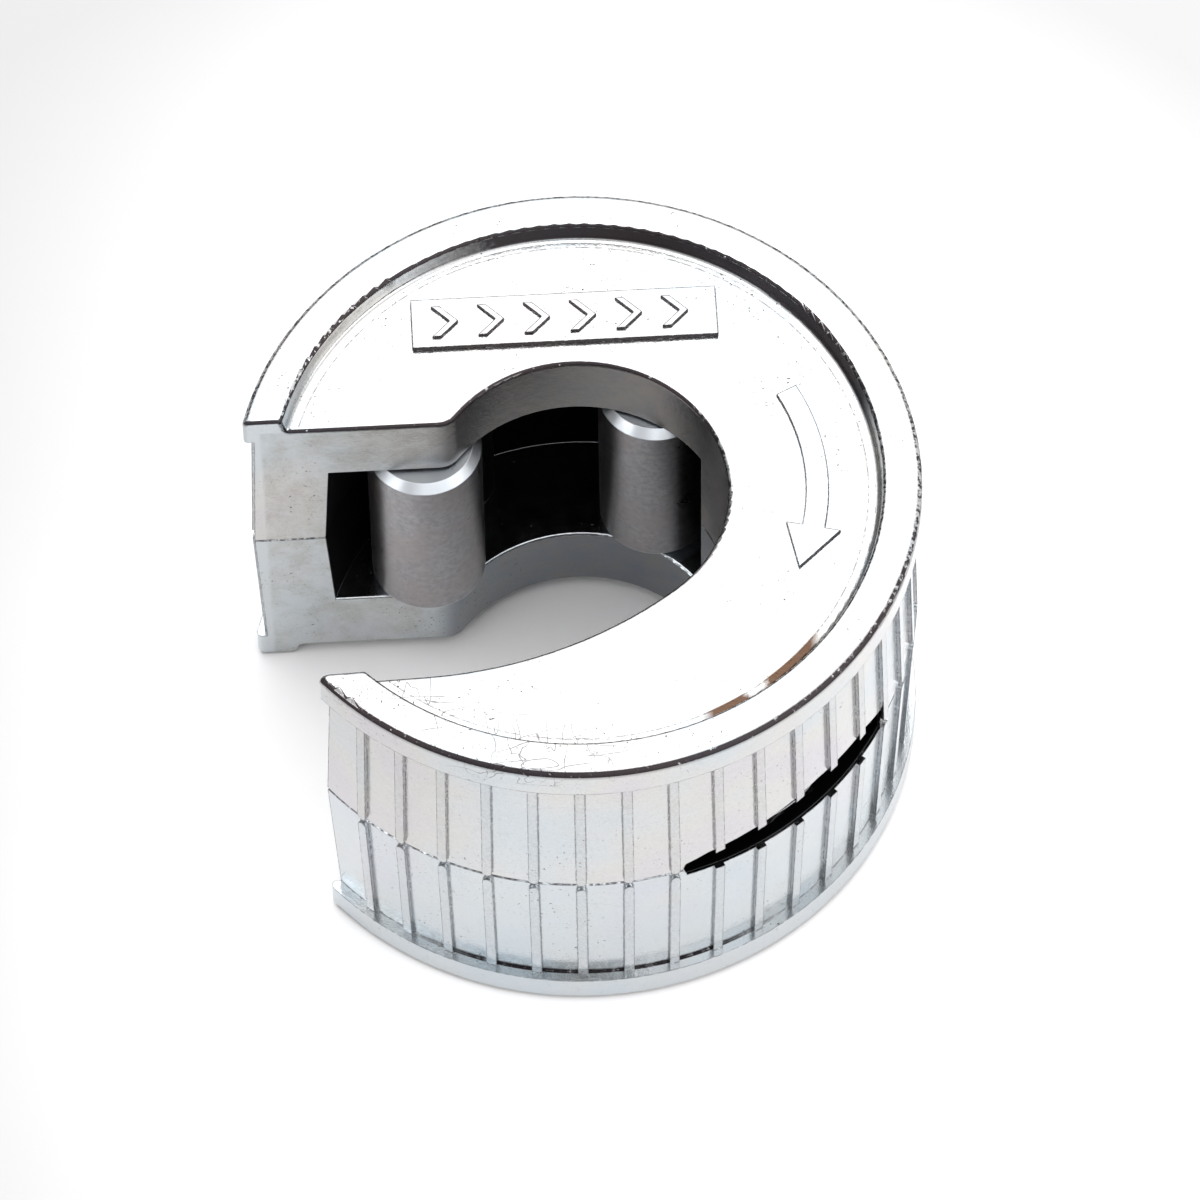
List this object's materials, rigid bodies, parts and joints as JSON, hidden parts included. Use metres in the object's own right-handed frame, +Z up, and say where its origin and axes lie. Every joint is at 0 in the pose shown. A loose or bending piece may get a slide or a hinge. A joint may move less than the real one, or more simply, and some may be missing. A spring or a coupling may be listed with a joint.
{
  "type": "pipe cutter",
  "caption": "One-hand C-shaped pocket cutter for small copper pipe: ribbed two-half cast housing, guide rollers and a sprung cutting wheel.",
  "frame": {"origin": "on the axis of the pipe in the throat, level with the bottom rim", "axes": "+Z up along the pipe axis, the mouth opens to -X, the flat lip face lies along X and faces -Y"},
  "size_m": [0.0393, 0.04, 0.0258],
  "materials": {
    "cast_zinc": "bright zinc-plated die casting, satin with a faint iridescent tint",
    "roller_steel": "turned steel, satin grey with bright chamfers",
    "pin_steel": "ground steel",
    "tool_steel": "hardened steel with a ground edge",
    "block_steel": "sintered steel, matt",
    "washer_brass": "plain brass",
    "spring_steel": "drawn spring wire",
    "screw_steel": "black-oxide steel"
  },
  "bodies": {
    "housing": {"upper_shell": "cast_zinc", "lower_shell": "cast_zinc", "left_roller_pin": "pin_steel", "right_roller_pin": "pin_steel", "lip_dowel": "pin_steel", "tip_dowel": "pin_steel", "upper_spring": "spring_steel", "lower_spring": "spring_steel", "clamp_screw_1": "screw_steel", "clamp_screw_2": "screw_steel", "clamp_screw_3": "screw_steel", "clamp_screw_4": "screw_steel"},
    "left_roller_body": {"left_roller": "roller_steel"},
    "right_roller_body": {"right_roller": "roller_steel"},
    "carriage": {"upper_axle_block": "block_steel", "lower_axle_block": "block_steel", "wheel_axle": "pin_steel", "upper_wheel_washer": "washer_brass", "lower_wheel_washer": "washer_brass"},
    "wheel_body": {"cutter_wheel": "tool_steel"}
  },
  "joints": [
    {"name": "left_roller_spin", "type": "hinge", "parent": "housing", "child": "left_roller_body", "pos_m": [-0.00877, 0.00697, 0.0129], "axis": [0, 0, 1], "continuous": true},
    {"name": "right_roller_spin", "type": "hinge", "parent": "housing", "child": "right_roller_body", "pos_m": [0.00503, 0.01001, 0.0129], "axis": [0, 0, 1], "continuous": true},
    {"name": "carriage_feed", "type": "slide", "parent": "housing", "child": "carriage", "axis": [0.6115, -0.7912, 0], "range_m": [0, 0.0019], "stiffness_N_per_m": 4700, "springref_m": -0.0006, "deforming": ["upper_spring", "lower_spring"]},
    {"name": "wheel_spin", "type": "hinge", "parent": "carriage", "child": "wheel_body", "pos_m": [0.00758, -0.00981, 0.0129], "axis": [0, 0, 1], "continuous": true}
  ]
}
